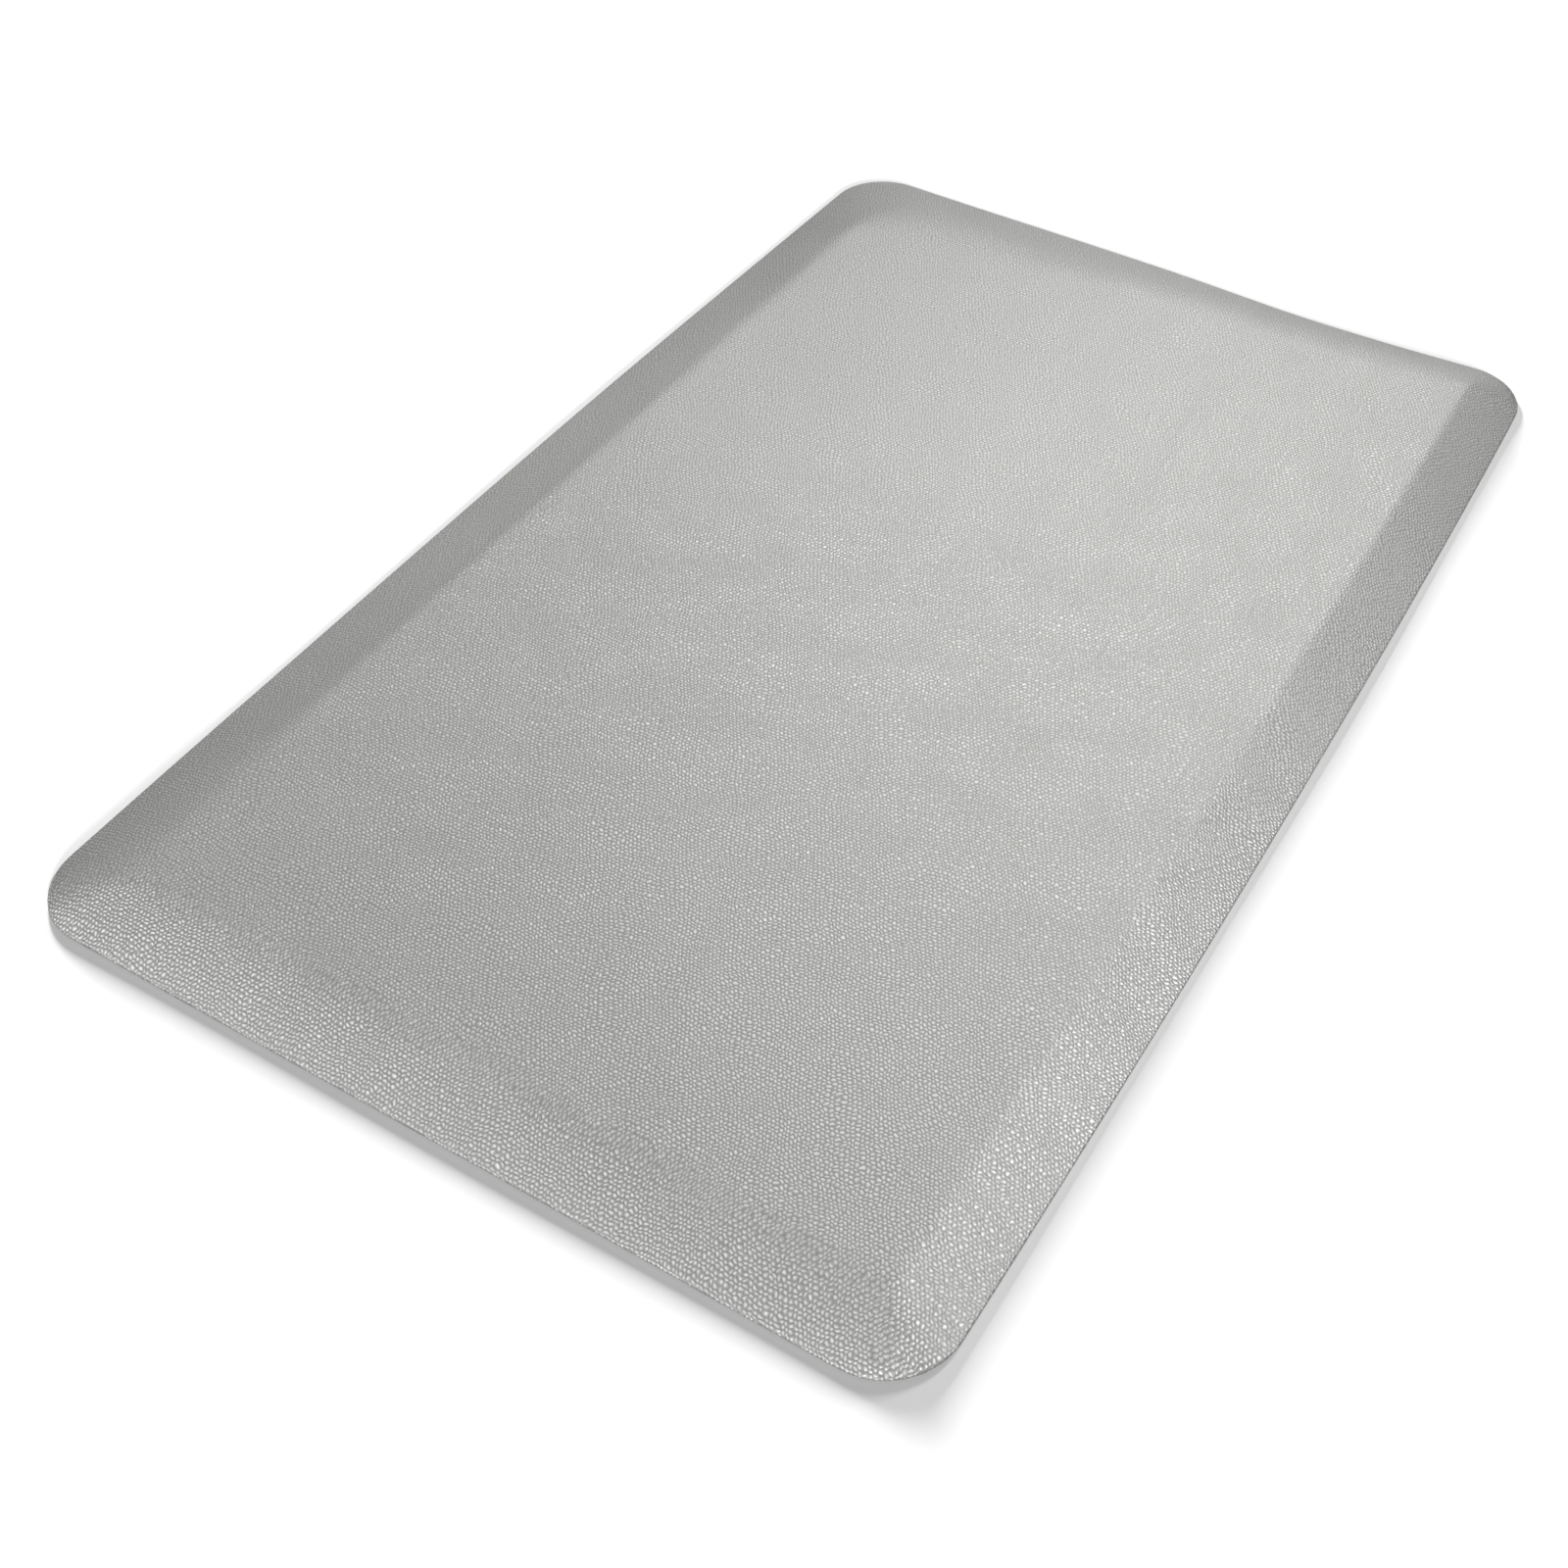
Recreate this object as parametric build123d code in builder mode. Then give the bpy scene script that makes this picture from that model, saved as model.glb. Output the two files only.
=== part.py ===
from build123d import *

import os
from math import atan2, degrees, tan

# Anti fatigue mat: a laminated comfort mat with bevelled edges.
#
# Four layers are bonded into one flat cushion.  A foam slab with sloping sides
# gives the comfort.  A sheet of vinyl on a cloth backing covers its top and its
# slopes, and a non-slip sheet closes it underneath.  The cloth and the vinyl run
# out past the foam in a narrow lip, where they are bonded to the bottom sheet.
#
# Millimetres.  X across the width, Y along the length, Z up.
# The origin is the centre of the underside, on the floor.

# ---- Overall size -----------------------------------------------------------
mat_width = 610.0
mat_length = 1016.0
mat_height = 19.0
corner_radius = 46.0

# ---- Bevelled edge ----------------------------------------------------------
lip_width = 3.0  # flat bonded lip all round, outside the foot of the slope
slope_run = 39.0  # from the foot of the slope in to the crest
plateau_radius = 10.0  # corner radius of the flat standing area

# ---- Layers -----------------------------------------------------------------
skin_thickness = 1.0
cloth_thickness = 0.5
base_thickness = 1.2

# ---- Levels and angles that follow from these -------------------------------
cover_thickness = skin_thickness + cloth_thickness
lip_height = base_thickness + cover_thickness
slope_angle = atan2(mat_height - lip_height, slope_run)


def inset_at_depth(depth):
    """How far in a bend of the surface lies, on a sheet that is depth below it."""
    return depth * tan(slope_angle / 2)


def raised_solid(depth):
    """The raised middle of the mat, as it is at depth below the outer surface.

    It stands on the level of the lip and has four sloping sides.  Its corners
    blend from the wide radius of the foot to the tight radius of the crest.
    """
    shift = inset_at_depth(depth)
    foot_inset = lip_width + shift
    crest_inset = lip_width + slope_run + shift
    with BuildPart() as raised:
        with BuildSketch(Plane.XY.offset(lip_height - depth)):
            RectangleRounded(
                mat_width - 2 * foot_inset,
                mat_length - 2 * foot_inset,
                corner_radius - foot_inset,
            )
        with BuildSketch(Plane.XY.offset(mat_height - depth)):
            RectangleRounded(
                mat_width - 2 * crest_inset,
                mat_length - 2 * crest_inset,
                plateau_radius - shift,
            )
        loft(ruled=True)
    return raised.part


# What the outer surface, the vinyl and the cloth each enclose.
outer_form = raised_solid(0)
under_skin_form = raised_solid(skin_thickness)
under_cloth_form = raised_solid(cover_thickness)

# ---- Non-slip sheet: a flat plate with the mat's own outline ----------------
with BuildPart() as grip_base:
    with BuildSketch(Plane.XY):
        RectangleRounded(mat_width, mat_length, corner_radius)
    extrude(amount=base_thickness)

# ---- Foam slab: bevelled to nothing at the inner edge of the lip ------------
with BuildPart() as foam_core:
    add(under_cloth_form)

# ---- Cloth that backs the vinyl: lies on the foam and on the lip ------------
with BuildPart() as backing_cloth:
    with BuildSketch(Plane.XY.offset(base_thickness)):
        RectangleRounded(mat_width, mat_length, corner_radius)
    extrude(amount=cloth_thickness)
    add(under_skin_form)
    add(under_cloth_form, mode=Mode.SUBTRACT)

# ---- Vinyl wear skin: the outer surface, down to the cut edge of the lip ----
with BuildPart() as wear_skin:
    with BuildSketch(Plane.XY.offset(base_thickness + cloth_thickness)):
        RectangleRounded(mat_width, mat_length, corner_radius)
    extrude(amount=skin_thickness)
    add(outer_form)
    add(under_skin_form, mode=Mode.SUBTRACT)

# ---- Labels and files -------------------------------------------------------
grip_base.part.label = "grip_base"
foam_core.part.label = "foam_core"
backing_cloth.part.label = "backing_cloth"
wear_skin.part.label = "wear_skin"

os.makedirs("parts", exist_ok=True)
export_step(grip_base.part, "parts/grip_base.step")
export_step(foam_core.part, "parts/foam_core.step")
export_step(backing_cloth.part, "parts/backing_cloth.step")
export_step(wear_skin.part, "parts/wear_skin.step")

print(f"slope angle {degrees(slope_angle):.1f} degrees, edge {lip_height:.1f} mm thick")
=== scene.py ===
import math

import bpy
import numpy as np
from mathutils import Matrix, Vector


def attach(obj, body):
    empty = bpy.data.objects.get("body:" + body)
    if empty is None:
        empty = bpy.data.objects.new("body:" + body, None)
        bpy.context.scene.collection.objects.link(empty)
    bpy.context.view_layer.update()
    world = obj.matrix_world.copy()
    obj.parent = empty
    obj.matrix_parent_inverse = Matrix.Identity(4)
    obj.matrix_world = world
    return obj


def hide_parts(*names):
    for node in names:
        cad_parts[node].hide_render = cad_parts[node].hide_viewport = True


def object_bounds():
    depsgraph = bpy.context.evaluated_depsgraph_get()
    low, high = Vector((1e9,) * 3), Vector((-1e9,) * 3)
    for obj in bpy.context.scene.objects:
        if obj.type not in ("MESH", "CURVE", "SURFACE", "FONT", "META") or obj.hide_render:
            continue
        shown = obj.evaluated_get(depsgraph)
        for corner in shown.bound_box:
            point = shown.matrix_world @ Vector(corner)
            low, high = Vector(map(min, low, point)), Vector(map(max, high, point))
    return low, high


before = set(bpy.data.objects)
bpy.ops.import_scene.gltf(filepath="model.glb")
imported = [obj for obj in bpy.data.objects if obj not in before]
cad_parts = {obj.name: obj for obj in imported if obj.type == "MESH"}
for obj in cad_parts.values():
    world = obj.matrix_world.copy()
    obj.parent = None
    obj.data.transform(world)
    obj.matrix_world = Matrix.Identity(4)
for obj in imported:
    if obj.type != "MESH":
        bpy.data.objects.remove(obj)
cad_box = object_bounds()

# ---------------------------------------------------------------- sizes, in millimetres
MM = 0.001
LOW, HIGH = (np.array(corner, float) / MM for corner in cad_box)
HALF_W, HALF_L = (HIGH - LOW)[:2] / 2
MAT_HEIGHT = HIGH[2]

# the outline, the slope and the layers, as in the CAD
CORNER_RADIUS = 46.0
LIP_WIDTH = 3.0
SLOPE_RUN = 39.0
PLATEAU_INSET = LIP_WIDTH + SLOPE_RUN
PLATEAU_RADIUS = 10.0
BASE_THICKNESS = 1.2
CLOTH_THICKNESS = 0.5
SKIN_THICKNESS = 1.0

# how far in from the outline the inner layers' edges are
BASE_CUT = 2.8
CLOTH_CUT = 3.4
FOAM_CUT = CLOTH_CUT + 1.2
# how far short of the plane where two layers meet each of them stops
HAIRLINE = 0.02
# the least height of the skin, and of the cloth's and the foam's top above the grip sheet
LEAST_HEIGHT = 0.04
LEAST_CLOTH = 0.1
LEAST_FOAM = 0.05

# the corners in order, each with the direction its middle faces in degrees: front left, front
# right, back right, back left
CORNER_SIGNS = [(-1, -1, 225), (1, -1, 315), (1, 1, 45), (-1, 1, 135)]
# each corner's radius at the crest, as in the CAD and as set to suit the photo, and how early
# on the slope the radius changes towards it
EVEN_CREST = (PLATEAU_RADIUS,) * 4
WORN_CREST = (12.0, PLATEAU_RADIUS, 8.0, 58.0)
CREST_EASE = 0.65

# the skin's outer edge
EDGE_HEIGHT = 1.5
EDGE_ROUND = 1.0

# how much further in than the CAD's the crest lies on the left, at the front and at the back,
# where it also tilts from side to side and bulges
LEFT_REACH = 10.0
FRONT_REACH = 3.0
BACK_REACH = 11.0
BACK_REACH_TILT = 6.0
BACK_REACH_BULGE = 13.0
BULGE_X, BULGE_WIDTH = -110.0, 90.0

# how far the slopes swell, and how softly they run out at the crest: everywhere, and what the
# front, the back and the left side add
SIDE_CROWN = (0.15, 0.9, 0.5, 0.2)
SIDE_BLEND = (1.3, 2.6, 4.6, 1.0)
CROWN_LEAN = 0.35
NEAR_LEFT_CROWN = 1.6
NEAR_LEFT_Y, NEAR_LEFT_FADE = -260.0, 140.0
# how quickly a side's share falls off round a corner
SIDE_SHARPNESS = 1.5

# the crease along the middle of the left slope
CREASE_DEPTH = 1.0
CREASE_Y, CREASE_LENGTH = -60.0, 200.0
CREASE_RISE = 34.0
CREASE_END, CREASE_FADE = 44.0, 10.0

# the foam's waves: height, wavelength, heading in radians and phase
WAVES = [(0.16, 610, 0.4, 0.3), (0.12, 380, 1.1, 1.9), (0.10, 260, 2.3, 4.1), (0.07, 190, 0.2, 2.2),
         (0.06, 150, 1.6, 5.0), (0.04, 110, 2.8, 0.9), (0.04, 92, 0.8, 3.3)]
WAVE_SHARE = 0.6
WAVE_FADE = 50.0

# how the long edges bow, and how the back edge lies: each FROM and FADE is a share of the half
# length or, at the back right, of the half width
SIDE_BULGE = 0.8
SIDE_BOW = 6.2
BACK_FROM, BACK_FADE = 0.2, 0.8
BACK_DRAW_IN = 0.9
BACK_DENT = 3.6
DENT_X, DENT_WIDTH = 105.0, 75.0
BACK_RIGHT_OUT = 4.0
BACK_RIGHT_FROM, BACK_RIGHT_FADE = 0.55, 0.4
BACK_BULGE = 0.9

# how the edges and corners lift off the floor, and how far in the back right corner is pulled
CORNER_LIFTS = {(1, 1): 1.4, (1, -1): 0.5, (-1, -1): 0.4}
CORNER_PULL = 1.1
CORNER_FADE = 80.0
EDGE_FADE = 55.0
EDGE_LIFT = 0.3
# waves of that lift along the sides and the ends: height, radians per millimetre and phase
SIDE_WAVE = (0.4, 0.011, 0.6)
END_WAVE = (0.3, 0.017, 1.1)

# contours of the mesh, closest together where the skin bends most
RING_INSETS = [0.0, 0.08, 0.3, 0.6, 1.0, 1.6, 2.3, 3.2, 4.5, 6.5, 9.0, 12.0, 15.0, 18.0, 21.0, 24.0,
               27.0, 30.0, 33.0, 36.0, 38.5, 41.0, 43.0, 45.0, 47.0, 49.0, 51.0, 53.0, 55.5, 58.0,
               61.0, 65.0, 70.0, 76.0, 82.0, 88.0, 94.0]
GRIP_INSETS = [0.0, 1.5, 5.0, 12.0, 20.0, 30.0, 42.0]
# the inset given to points inside the innermost contour
INSIDE = 1000.0
# the step over which the slope is measured
SLOPE_STEP = 0.25
# mesh steps along the width, along the length and round half a corner
FINE_STEPS = (112, 202, 8)
COARSE_STEPS = (56, 101, 4)
GRIP_STEPS = (150, 250, 4)

# the grip sheet's grooves: the spacing and the first groove in mesh steps
GROOVE_DEPTH = 0.5
GROOVE_SPACING = 6
GROOVE_FIRST = 3
# how near a mesh line a point counts as on it, and how far in the grooves start
ON_LINE = 0.05
PLAIN_BORDER = GRIP_INSETS[-1] + 1


def smooth_step(x):
    x = np.clip(x, 0.0, 1.0)
    return x * x * (3 - 2 * x)


def smooth_min(a, b, k):
    h = np.clip(0.5 + 0.5 * (b - a) / k, 0.0, 1.0)
    return b + (a - b) * h - k * h * (1 - h)


def bump(x, centre, width):
    return np.exp(-((x - centre) / width) ** 2)


def wave(along, height, rate, phase):
    return height * np.sin(rate * along + phase)


# ---------------------------------------------------------------- the mat's outline and mesh
def corner_radius_at(inset, crest_radius=PLATEAU_RADIUS):
    """The outline's corner radius: parallel across the lip, then changing up the slope."""
    foot = CORNER_RADIUS - LIP_WIDTH
    t = np.clip((inset - LIP_WIDTH) / SLOPE_RUN, 0.0, 1.0) ** CREST_EASE
    return float(np.where(inset <= LIP_WIDTH, CORNER_RADIUS - inset, foot + (crest_radius - foot) * t))


def ring(inset, nx, ny, k, crest_radii):
    """One closed contour at an inset from the outline, and the outward direction at each of its
    points. It starts at the middle of the front left corner and goes along the front."""
    corners = []
    for (side_x, side_y, middle), crest_radius in zip(CORNER_SIGNS, crest_radii):
        r = corner_radius_at(inset, crest_radius)
        corners.append((side_x * (HALF_W - inset - r), side_y * (HALF_L - inset - r), middle, r))
    counts = [nx, ny, nx, ny]
    points, outward = [], []

    def arc(centre_x, centre_y, radius, start):
        for j in range(k):
            a = math.radians(start + 45.0 * j / k)
            outward.append((math.cos(a), math.sin(a)))
            points.append((centre_x + radius * math.cos(a), centre_y + radius * math.sin(a)))

    for i, (ox, oy, middle, r) in enumerate(corners):
        ex, ey, _, er = corners[(i + 1) % 4]
        arc(ox, oy, r, middle)
        a = math.radians(middle + 45.0)
        normal = (math.cos(a), math.sin(a))
        sx, sy = ox + r * normal[0], oy + r * normal[1]
        tx, ty = ex + er * normal[0], ey + er * normal[1]
        for j in range(counts[i]):
            t = j / counts[i]
            outward.append(normal)
            points.append((sx + (tx - sx) * t, sy + (ty - sy) * t))
        arc(ex, ey, er, middle + 45.0)
    return np.array(points), np.array(outward)


def filled(inner, mx, my):
    """A grid that fills a contour of mx by my steps, blended from its four sides."""
    front = inner[: mx + 1]
    right = inner[mx : mx + my + 1]
    back = inner[mx + my : 2 * mx + my + 1][::-1]
    left = np.vstack([inner[2 * mx + my :], inner[:1]])[::-1]
    u = (front[:, 0] - front[0, 0]) / (front[-1, 0] - front[0, 0])
    v = (left[:, 1] - left[0, 1]) / (left[-1, 1] - left[0, 1])
    U, V = np.meshgrid(u, v, indexing="ij")
    grid = np.empty((mx + 1, my + 1, 2))
    for c in range(2):
        across = (1 - V) * front[:, c][:, None] + V * back[:, c][:, None]
        along = (1 - U) * left[:, c][None, :] + U * right[:, c][None, :]
        both = ((1 - U) * (1 - V) * front[0, c] + U * (1 - V) * front[-1, c]
                + (1 - U) * V * back[0, c] + U * V * back[-1, c])
        grid[..., c] = across + along - both
    return grid


def quads_of(index):
    """The faces of a grid whose points have these indices."""
    return np.stack([index[:-1, :-1], index[1:, :-1], index[1:, 1:], index[:-1, 1:]], -1).reshape(-1, 4)


def layout(steps, insets, crest_radii=WORN_CREST):
    """Flat points of one face of the mat: the contours, then a grid that fills the innermost
    one. Gives points, insets, outward directions, faces and the number of points in a contour."""
    nx, ny, k = steps
    rings = [ring(d, nx, ny, k, crest_radii) for d in insets]
    n = len(rings[0][0])
    mx, my = nx + 2 * k, ny + 2 * k
    grid = filled(rings[-1][0], mx, my)
    index = np.full((mx + 1, my + 1), -1)
    last = (len(insets) - 1) * n
    edge = ([(i, 0) for i in range(mx)] + [(mx, j) for j in range(my)]
            + [(i, my) for i in range(mx, 0, -1)] + [(0, j) for j in range(my, 0, -1)])
    for at, (i, j) in enumerate(edge):
        index[i, j] = last + at
    free = index < 0
    index[free] = len(insets) * n + np.arange(free.sum())
    points = np.vstack([r[0] for r in rings] + [grid[free]])
    outward = np.vstack([r[1] for r in rings] + [np.zeros((free.sum(), 2))])
    inset = np.concatenate([np.full(n, d) for d in insets] + [np.full(free.sum(), INSIDE)])
    at = np.arange(n)
    nxt = (at + 1) % n
    faces = [np.stack([at + n * i, nxt + n * i, nxt + n * (i + 1), at + n * (i + 1)], 1)
             for i in range(len(insets) - 1)]
    faces.append(quads_of(index))
    return points, inset, outward, np.vstack(faces), n


# ---------------------------------------------------------------- the mat's upper surface
def side_weights(outward):
    """How far a point belongs to the front, right, back and left side, from 0 to 1."""
    facing = np.stack([-outward[:, 1], outward[:, 0], outward[:, 1], -outward[:, 0]], 1)
    return np.clip(facing, 0, 1) ** SIDE_SHARPNESS


def by_side(values, front, back, left):
    """A value that holds everywhere, with what the front, the back and the left side add."""
    everywhere, at_front, at_back, at_left = values
    return everywhere + at_front * front + at_back * back + at_left * left


def top_height(points, inset, outward):
    """The upper surface's height above the underside. The skin slopes down to a thin edge."""
    x, y = points.T
    front, _, back, left = side_weights(outward).T
    back_reach = BACK_REACH - BACK_REACH_TILT * x / HALF_W + BACK_REACH_BULGE * bump(x, BULGE_X, BULGE_WIDTH)
    reach = PLATEAU_INSET + LEFT_REACH * left + FRONT_REACH * front + back_reach * back
    near_left = left * smooth_step((NEAR_LEFT_Y - y) / NEAR_LEFT_FADE)
    t = np.clip(inset / reach, 0, 1)
    crown = by_side(SIDE_CROWN, front, back, left) + NEAR_LEFT_CROWN * near_left
    ramp = EDGE_HEIGHT + (MAT_HEIGHT - EDGE_HEIGHT) * inset / reach
    ramp = ramp + crown * np.sin(math.pi * t) * (1 - CROWN_LEAN * t)
    z = smooth_min(ramp, MAT_HEIGHT, by_side(SIDE_BLEND, front, back, left))
    # the left slope steepens just below its crest, along the middle of that side
    before_crest = 1 - smooth_step((inset - CREASE_END) / CREASE_FADE)
    crease = left * bump(y, CREASE_Y, CREASE_LENGTH) * smooth_step(inset / CREASE_RISE) * before_crest
    return z - CREASE_DEPTH * crease


def unevenness(points, inset):
    """The foam's own slow unevenness under the skin, up to about a third of a millimetre."""
    x, y = points.T
    z = sum(height * np.sin((x * math.cos(heading) + y * math.sin(heading)) * 2 * math.pi / length + phase)
            for height, length, heading, phase in WAVES)
    return WAVE_SHARE * z * smooth_step(inset / WAVE_FADE)


def near_corner(x, y, side_x, side_y):
    """How near a point is to a corner, from 1 at the corner to 0 far from it."""
    return np.exp(-np.hypot(HALF_W - side_x * x, HALF_L - side_y * y) / CORNER_FADE)


def lie(points):
    """How the mat lies: the shift of each point in the floor's plane, and its lift."""
    x, y = points.T
    u, v = x / HALF_W, y / HALF_L
    dx = np.sign(u) * np.abs(u) ** 2 * (SIDE_BULGE - SIDE_BOW * v ** 2)
    dx = dx - CORNER_PULL * near_corner(x, y, 1, 1)
    back = smooth_step((v - BACK_FROM) / BACK_FADE)
    back_right = smooth_step((u - BACK_RIGHT_FROM) / BACK_RIGHT_FADE)
    dy = back * (-BACK_DRAW_IN - BACK_DENT * bump(x, DENT_X, DENT_WIDTH) + BACK_RIGHT_OUT * back_right
                 + BACK_BULGE * bump(x, BULGE_X, BULGE_WIDTH))
    near_edge = np.exp(-np.minimum(HALF_W - np.abs(x), HALF_L - np.abs(y)) / EDGE_FADE)
    lift = sum(amount * near_corner(x, y, *corner) for corner, amount in CORNER_LIFTS.items())
    lift = lift + near_edge * (EDGE_LIFT + wave(y, *SIDE_WAVE) + wave(x, *END_WAVE))
    return np.stack([dx, dy, np.maximum(lift, 0)], 1)


def steepness(points, inset, outward):
    """How much longer a slanted layer is through its thickness than straight down."""
    rise = top_height(points, inset + SLOPE_STEP, outward) - top_height(points, inset - SLOPE_STEP, outward)
    return np.sqrt(1 + (rise / (2 * SLOPE_STEP)) ** 2)


def face_points(flat, depth=None, level=None, cut=0.0, least=LEAST_HEIGHT):
    """A layer's face: at a depth below the upper surface, or flat at a level above the
    underside. cut is how far in from the outline the layer's edge is."""
    points, inset, outward = flat[:3]
    if level is None:
        z = top_height(points, inset, outward) - depth * steepness(points, inset, outward)
        z = z + unevenness(points, inset)
        if depth == 0:
            drop = np.clip(EDGE_ROUND - inset, 0, None)
            z = z - (EDGE_ROUND - np.sqrt(EDGE_ROUND ** 2 - drop ** 2))
        z = np.maximum(z, least)
    else:
        z = np.full(len(points), float(level))
    at = points - outward * np.where(inset < cut, cut - inset, 0.0)[:, None]
    moved = lie(at)
    return np.column_stack([at + moved[:, :2], z + moved[:, 2]])


# ---------------------------------------------------------------- the four layers
def mesh_object(name, verts, quads):
    mesh = bpy.data.meshes.new(name)
    mesh.vertices.add(len(verts))
    mesh.vertices.foreach_set("co", (verts * MM).astype(np.float32).ravel())
    mesh.loops.add(quads.size)
    mesh.loops.foreach_set("vertex_index", quads.astype(np.int32).ravel())
    mesh.polygons.add(len(quads))
    mesh.polygons.foreach_set("loop_start", np.arange(0, quads.size, 4, dtype=np.int32))
    mesh.update(calc_edges=True)
    mesh.polygons.foreach_set("use_smooth", np.ones(len(quads), dtype=bool))
    mesh.validate()
    obj = bpy.data.objects.new(name, mesh)
    bpy.context.scene.collection.objects.link(obj)
    return obj


def layer(name, flat, upper, lower, walls=2):
    """A closed layer of the mat between two faces that share one layout. walls is the number
    of rows of faces round its edge."""
    faces, n = flat[3], flat[4]
    count = len(upper)
    verts = [upper, lower]
    rows = [np.arange(n)]
    for i in range(1, walls):
        t = i / walls
        rows.append(2 * count + (i - 1) * n + np.arange(n))
        verts.append(upper[:n] * (1 - t) + lower[:n] * t)
    rows.append(count + np.arange(n))
    quads = [faces, faces[:, ::-1] + count]
    for a, b in zip(rows, rows[1:]):
        quads.append(np.stack([a, b, np.roll(b, -1), np.roll(a, -1)], 1))
    return mesh_object(name, np.vstack(verts), np.vstack(quads))


def grooves(flat):
    """The height of the grip sheet's underside: shallow grooves both ways, inside a plain border."""
    points, inset = flat[0], flat[1]
    half = np.array([HALF_W, HALF_L]) - GRIP_INSETS[-1] - corner_radius_at(GRIP_INSETS[-1])
    step = 2 * half / np.array(GRIP_STEPS[:2])
    line = np.round((points + half) / step).astype(int)
    on_line = np.abs(points + half - line * step) < ON_LINE
    grooved = ((line % GROOVE_SPACING == GROOVE_FIRST) & on_line).any(1) & (inset > PLAIN_BORDER)
    return np.where(grooved, GROOVE_DEPTH, 0.0)


fine = layout(FINE_STEPS, RING_INSETS)
coarse = layout(COARSE_STEPS, RING_INSETS)
above_base = BASE_THICKNESS + HAIRLINE
below_cloth = SKIN_THICKNESS + CLOTH_THICKNESS

skin_top = face_points(fine, depth=0.0)
skin_under = face_points(fine, depth=SKIN_THICKNESS - HAIRLINE)
wear_skin = layer("wear_skin", fine, skin_top, skin_under)

cloth_top = face_points(coarse, SKIN_THICKNESS + HAIRLINE, cut=CLOTH_CUT, least=above_base + LEAST_CLOTH)
cloth_under = face_points(coarse, below_cloth - HAIRLINE, cut=CLOTH_CUT, least=above_base)
backing_cloth = layer("backing_cloth", coarse, cloth_top, cloth_under, walls=1)

foam_top = face_points(coarse, below_cloth + HAIRLINE, cut=FOAM_CUT, least=above_base + LEAST_FOAM)
foam_under = face_points(coarse, level=above_base, cut=FOAM_CUT)
foam_core = layer("foam_core", coarse, foam_top, foam_under, walls=1)

grip_flat = layout(GRIP_STEPS, GRIP_INSETS, EVEN_CREST)
base_top = face_points(grip_flat, level=BASE_THICKNESS - HAIRLINE, cut=BASE_CUT)
base_under = face_points(grip_flat, level=0.0, cut=BASE_CUT)
base_under[:, 2] += grooves(grip_flat)
grip_base = layer("grip_base", grip_flat, base_top, base_under)


# ---------------------------------------------------------------- materials
class Nodes:
    """Builds a material's node tree: nodes.add("Math", (socket, value or output), setting=value)."""

    def __init__(self, name):
        self.material = bpy.data.materials.new(name)
        self.material.use_nodes = True
        self.tree = self.material.node_tree
        self.tree.nodes.clear()

    def plug(self, socket, value):
        if isinstance(value, bpy.types.NodeSocket):
            self.tree.links.new(value, socket)
        elif socket.type == "RGBA" and len(value) == 3:
            socket.default_value = (*value, 1.0)
        else:
            socket.default_value = value

    def add(self, kind, *inputs, out=0, **settings):
        node = self.tree.nodes.new("ShaderNode" + kind)
        for key, value in settings.items():
            setattr(node, key, value)
        for socket, value in inputs:
            self.plug(node.inputs[socket], value)
        return node.outputs[out]

    def place(self):
        """Where a point is on the object, in metres."""
        return self.add("TexCoord", out="Object")

    def math(self, operation, a, b):
        return self.add("Math", (0, a), (1, b), operation=operation)

    def vector(self, operation, a, b):
        inputs = (0, a), (3, b) if operation == "SCALE" else (1, b)
        return self.add("VectorMath", *inputs, operation=operation)

    def ramp(self, value, start, end):
        node = self.tree.nodes.new("ShaderNodeValToRGB")
        node.color_ramp.interpolation = "EASE"
        self.tree.links.new(value, node.inputs[0])
        for element, (at, colour) in zip(node.color_ramp.elements, (start, end)):
            element.position = at
            element.color = (*colour, 1.0)
        return node.outputs[0]

    def map(self, value, low, high, to_low, to_high, kind="LINEAR"):
        return self.add("MapRange", (0, value), (1, low), (2, high), (3, to_low), (4, to_high),
                        interpolation_type=kind)

    def multiply(self, a, b):
        """The product of two colours. Inputs 0, 6 and 7 are the factor and the two colours."""
        return self.add("Mix", (0, 1.0), (6, a), (7, b), out=2, data_type="RGBA", blend_type="MULTIPLY")

    def noise(self, vector, scale, detail, roughness, dimensions="3D", out="Fac"):
        return self.add("TexNoise", ("Vector", vector), ("Scale", scale), ("Detail", detail),
                        ("Roughness", roughness), noise_dimensions=dimensions, out=out)

    def drift(self, vector, scale, detail):
        """A slow random vector in the sheet's plane, about zero."""
        noise = self.noise(vector, scale, detail, 0.4, dimensions="2D", out="Color")
        return self.vector("SUBTRACT", noise, (0.5, 0.5, 0.5))

    def relief(self, height, distance, strength):
        return self.add("Bump", ("Height", height), ("Distance", distance * MM), ("Strength", strength))

    def finish(self, colour, roughness, normal=None, **fixed):
        bsdf = self.tree.nodes.new("ShaderNodeBsdfPrincipled")
        self.plug(bsdf.inputs["Base Color"], colour)
        self.plug(bsdf.inputs["Roughness"], roughness)
        if normal is not None:
            self.plug(bsdf.inputs["Normal"], normal)
        for key, value in fixed.items():
            self.plug(bsdf.inputs[key.replace("_", " ")], value)
        out = self.tree.nodes.new("ShaderNodeOutputMaterial")
        self.tree.links.new(bsdf.outputs[0], out.inputs[0])
        return self.material


# the vinyl's pebbles, in millimetres
PEBBLE_PITCH = 2.75
PEBBLE_HEIGHT = 0.34
ROW_WANDER = 9.0
PEBBLE_JITTER = 2.0
# a pebble's radius and the spacing of the rows, in pitches
PEBBLE_REACH = 0.56
ROW_STEP = math.sqrt(3) / 2
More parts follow.
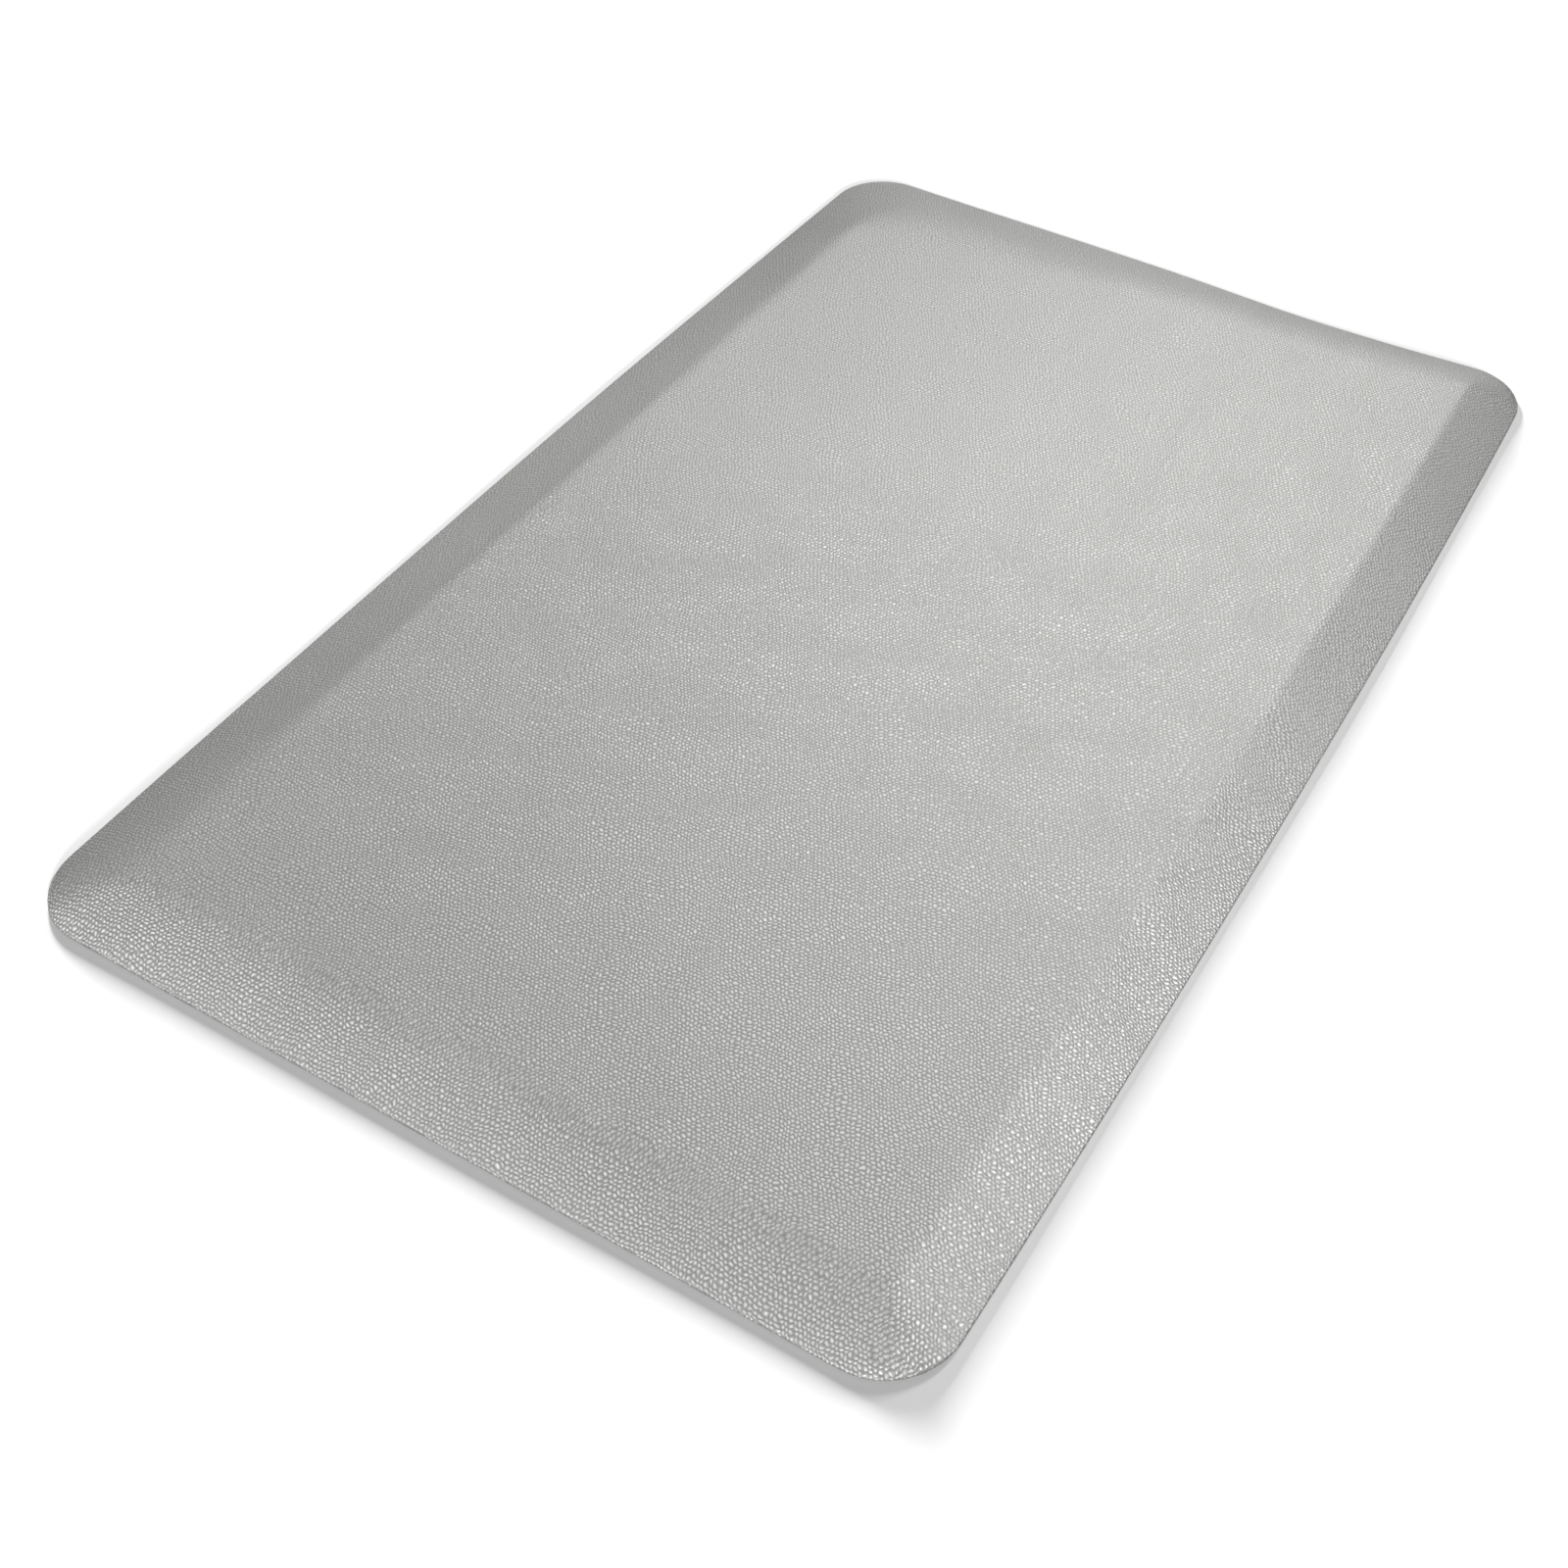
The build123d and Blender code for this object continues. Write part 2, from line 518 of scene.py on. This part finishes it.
# the grain's height as a share of the pebble's
GRAIN_SHARE = 0.03
VINYL_COLOUR = (0.615, 0.618, 0.604)
VINYL_METALLIC = 0.65


def bead_distance(n, cell, offset):
    """Distance to the nearest bead of every other row, in pitches."""
    moved = n.vector("ADD", cell, offset)
    local = n.add("VectorMath", (0, moved), (1, (0.5, ROW_STEP, 1.0)), (2, (-0.5, -ROW_STEP, -1.0)),
                  operation="WRAP")
    return n.add("VectorMath", (0, local), operation="LENGTH", out="Value")


def vinyl_material():
    """Silver-grey embossed vinyl: round pebbles in staggered, wandering rows, with a fine grain, and painted
    shade in the gaps between the pebbles with painted light on their tops.
    """
    n = Nodes("silver_vinyl")
    place = n.place()
    flat = n.vector("MULTIPLY", place, (1 / MM, 1 / MM, 0.0))
    wander = n.drift(flat, 0.020, 1.0)
    jitter = n.drift(flat, 0.22, 0.0)
    flowing = n.vector("ADD", flat, n.vector("SCALE", wander, ROW_WANDER))
    flowing = n.vector("ADD", flowing, n.vector("SCALE", jitter, PEBBLE_JITTER))
    cell = n.vector("MULTIPLY", flowing, (1 / PEBBLE_PITCH, 1 / PEBBLE_PITCH, 0.0))
    centre = n.math("MINIMUM", bead_distance(n, cell, (0.0, 0.0, 0.0)),
                    bead_distance(n, cell, (0.5, ROW_STEP, 0.0)))
    dome = n.map(centre, 0.0, PEBBLE_REACH, 1.0, 0.0, "SMOOTHSTEP")
    grain = n.noise(place, 2600.0, 2.0, 0.6)
    height = n.math("ADD", dome, n.math("MULTIPLY", grain, GRAIN_SHARE))

    broad = n.noise(place, 7.0, 3.0, 0.5)
    tone = n.map(broad, 0.3, 0.7, 0.98, 1.02)
    each = n.map(n.noise(flat, 0.35, 0.0, 0.5, dimensions="2D"), 0.3, 0.7, 0.95, 1.05)
    # painted shade and light: the colour falls to 0.62 in the gaps between pebbles, where shade falls, and
    # rises to 1.10 on their tops; the broad and per-patch noise is the vinyl's own random tone
    painted_groove_shade = n.map(dome, 0.0, 0.75, 0.62, 1.10)
    tone_and_painted_shade = n.math("MULTIPLY", n.math("MULTIPLY", tone, each), painted_groove_shade)
    colour = n.multiply(VINYL_COLOUR, n.add("CombineColor", (0, tone_and_painted_shade), (1, tone_and_painted_shade), (2, tone_and_painted_shade)))
    between = n.map(dome, 0.0, 0.6, 0.12, 0.0)
    rough = n.math("ADD", n.map(broad, 0.3, 0.7, 0.43, 0.46), between)
    return n.finish(colour, rough, n.relief(height, PEBBLE_HEIGHT, 1.0), Metallic=VINYL_METALLIC)


def cloth_material():
    """A knitted cloth, drawn as crossed waves."""
    n = Nodes("backing_weave")
    place = n.place()
    warp = n.add("TexWave", ("Vector", place), ("Scale", 500.0), bands_direction="X")
    weft = n.add("TexWave", ("Vector", place), ("Scale", 500.0), bands_direction="Y")
    weave = n.math("MAXIMUM", warp, weft)
    colour = n.ramp(weave, (0.0, (0.42, 0.42, 0.41)), (1.0, (0.72, 0.72, 0.70)))
    return n.finish(colour, n.map(weave, 0.0, 1.0, 0.95, 0.82), n.relief(weave, 0.2, 0.6))


def foam_material():
    """Dark foam with small cells."""
    n = Nodes("cellular_foam")
    cells = n.add("TexVoronoi", ("Vector", n.place()), ("Scale", 1400.0), feature="F1")
    colour = n.ramp(cells, (0.0, (0.05, 0.05, 0.052)), (0.7, (0.17, 0.17, 0.175)))
    return n.finish(colour, n.map(cells, 0.0, 0.8, 0.95, 0.8), n.relief(cells, 0.3, 0.7))


def grip_material():
    """Dark rubber with a fine grain and slow clouds."""
    n = Nodes("grip_rubber")
    place = n.place()
    grain = n.noise(place, 1500.0, 3.0, 0.6)
    cloudy = n.noise(place, 9.0, 4.0, 0.55)
    blend = n.math("ADD", n.math("MULTIPLY", grain, 0.35), n.math("MULTIPLY", cloudy, 0.65))
    colour = n.ramp(blend, (0.3, (0.055, 0.055, 0.058)), (0.7, (0.11, 0.11, 0.115)))
    return n.finish(colour, n.map(cloudy, 0.3, 0.7, 0.62, 0.78), n.relief(grain, 0.1, 0.6))


for piece, material, node, slot in (
    (wear_skin, vinyl_material(), "wear_skin", "vinyl"),
    (backing_cloth, cloth_material(), "backing_cloth", "cloth"),
    (foam_core, foam_material(), "foam_core", "foam"),
    (grip_base, grip_material(), "grip_base", "grip_sheet"),
):
    piece.name = "mat_" + node
    piece.data.materials.append(material)
    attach(piece, "root")
    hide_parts(node)


# ---------------------------------------------------------------- floor, lights and camera
FLOOR_HALF = 6000.0
FLOOR_LEVEL = -0.3
FLOOR_CELLS = 24
FLOOR_GLOW = 0.05
WORLD_GLOW = 0.02
FAR, NEAR = 2.4, 1.25


def stage_floor():
    """A plain pale floor that the mat doesn't mirror."""
    n = Nodes("studio_floor")
    mottle = n.noise(n.place(), 3.0, 3.0, 0.5)
    colour = n.ramp(mottle, (0.3, (0.90, 0.90, 0.90)), (0.7, (0.93, 0.93, 0.93)))
    material = n.finish(colour, 0.9, Specular_IOR_Level=0.0, Emission_Color=(1.0, 1.0, 1.0, 1.0),
                        Emission_Strength=FLOOR_GLOW)
    along = np.linspace(-FLOOR_HALF, FLOOR_HALF, FLOOR_CELLS + 1)
    X, Y = np.meshgrid(along, along, indexing="ij")
    verts = np.stack([X.ravel(), Y.ravel(), np.full(X.size, FLOOR_LEVEL)], 1)
    obj = mesh_object("studio_floor", verts, quads_of(np.arange(X.size).reshape(X.shape)))
    obj.data.materials.append(material)
    obj.visible_glossy = False
    return obj


def light_object(name, light, receivers):
    """A lamp that lights only the objects of one collection."""
    obj = bpy.data.objects.new(name, light)
    bpy.context.scene.collection.objects.link(obj)
    obj.light_linking.receiver_collection = receivers
    return obj


def mat_light(name, distance, azimuth, elevation, size, power):
    """A square softbox for the mat, aimed at its middle, azimuth clockwise from the mat's far end."""
    light = bpy.data.lights.new(name, "AREA")
    light.shape = "RECTANGLE"
    light.size = light.size_y = size
    light.energy = power
    obj = light_object(name, light, mat_pieces)
    a, e = math.radians(azimuth), math.radians(elevation)
    toward = Vector((math.cos(e) * math.sin(a), math.cos(e) * math.cos(a), math.sin(e)))
    obj.location = distance * toward
    obj.rotation_euler = (-toward).to_track_quat("-Z", "Y").to_euler()


def floor_sun(name, azimuth, elevation, spread, strength):
    """A soft sun that lights only the floor, so the mat's shadow lies on it."""
    light = bpy.data.lights.new(name, "SUN")
    light.angle = math.radians(spread)
    light.energy = strength
    obj = light_object(name, light, floor_only)
    obj.rotation_euler = (math.radians(90 - elevation), 0.0, math.radians(180 - azimuth))


def collection_of(name, objects):
    group = bpy.data.collections.new(name)
    for obj in objects:
        group.objects.link(obj)
    return group


studio = stage_floor()
mat_pieces = collection_of("mat_pieces", (wear_skin, backing_cloth, foam_core, grip_base))
floor_only = collection_of("floor_only", (studio,))

# the mat's lights: distance in metres, azimuth, elevation, size in metres and power in watts.
# A low key at the front right lights the near slopes, fills come from the front and the sides,
# and a group behind the mat gives its top the sheen that fades towards the viewer.
mat_light("key_front_right", FAR, 160, 15, 1.0, 25)
mat_light("front_left_low", FAR, 225, 20, 0.9, 10)
mat_light("front_fill", FAR, 210, 45, 0.9, 12)
mat_light("left_low", FAR, 290, 20, 0.9, 5)
mat_light("right_side", NEAR, 90, 35, 0.6, 7)
mat_light("back_low", FAR, 0, 20, 0.9, 5)
mat_light("back_left_low", FAR, 340, 15, 0.9, 2)
mat_light("back_left_high", NEAR, 315, 50, 0.5, 3)
mat_light("back_high", NEAR, 0, 50, 0.5, 4)
mat_light("back_right_high", NEAR, 45, 50, 0.5, 1)

# the floor's suns: azimuth, elevation, spread in degrees and strength
floor_sun("floor_back_left", 315, 13.8, 9, 8.0)
floor_sun("floor_back", 0, 19.5, 9, 1.95)
floor_sun("floor_front_right", 135, 13.8, 9, 5.0)
floor_sun("floor_top", 0, 89, 90, 0.05)

world = bpy.data.worlds.new("studio")
world.use_nodes = True
background = world.node_tree.nodes["Background"]
background.inputs["Color"].default_value = (1.0, 1.0, 1.0, 1.0)
background.inputs["Strength"].default_value = WORLD_GLOW
bpy.context.scene.world = world

# the camera's place in metres, its turns in degrees, and its lens and sensor in millimetres
CAMERA_PLACE = (0.461, -0.956, 0.919)
AZIMUTH, ELEVATION, ROLL = 29.2, 45.9, 2.5
LENS, SENSOR = 46.8, 36.0
camera_data = bpy.data.cameras.new("camera")
camera_data.sensor_width = SENSOR
camera_data.lens = LENS
camera = bpy.data.objects.new("camera", camera_data)
bpy.context.scene.collection.objects.link(camera)
camera.location = CAMERA_PLACE
heading = Matrix.Rotation(math.radians(AZIMUTH), 3, "Z")
tilt = Matrix.Rotation(math.radians(90 - ELEVATION), 3, "X")
roll = Matrix.Rotation(math.radians(ROLL), 3, "Z")
camera.rotation_euler = (heading @ tilt @ roll).to_euler()
bpy.context.scene.camera = camera
bpy.context.scene.view_settings.view_transform = "Standard"
bpy.context.scene.view_settings.look = "None"
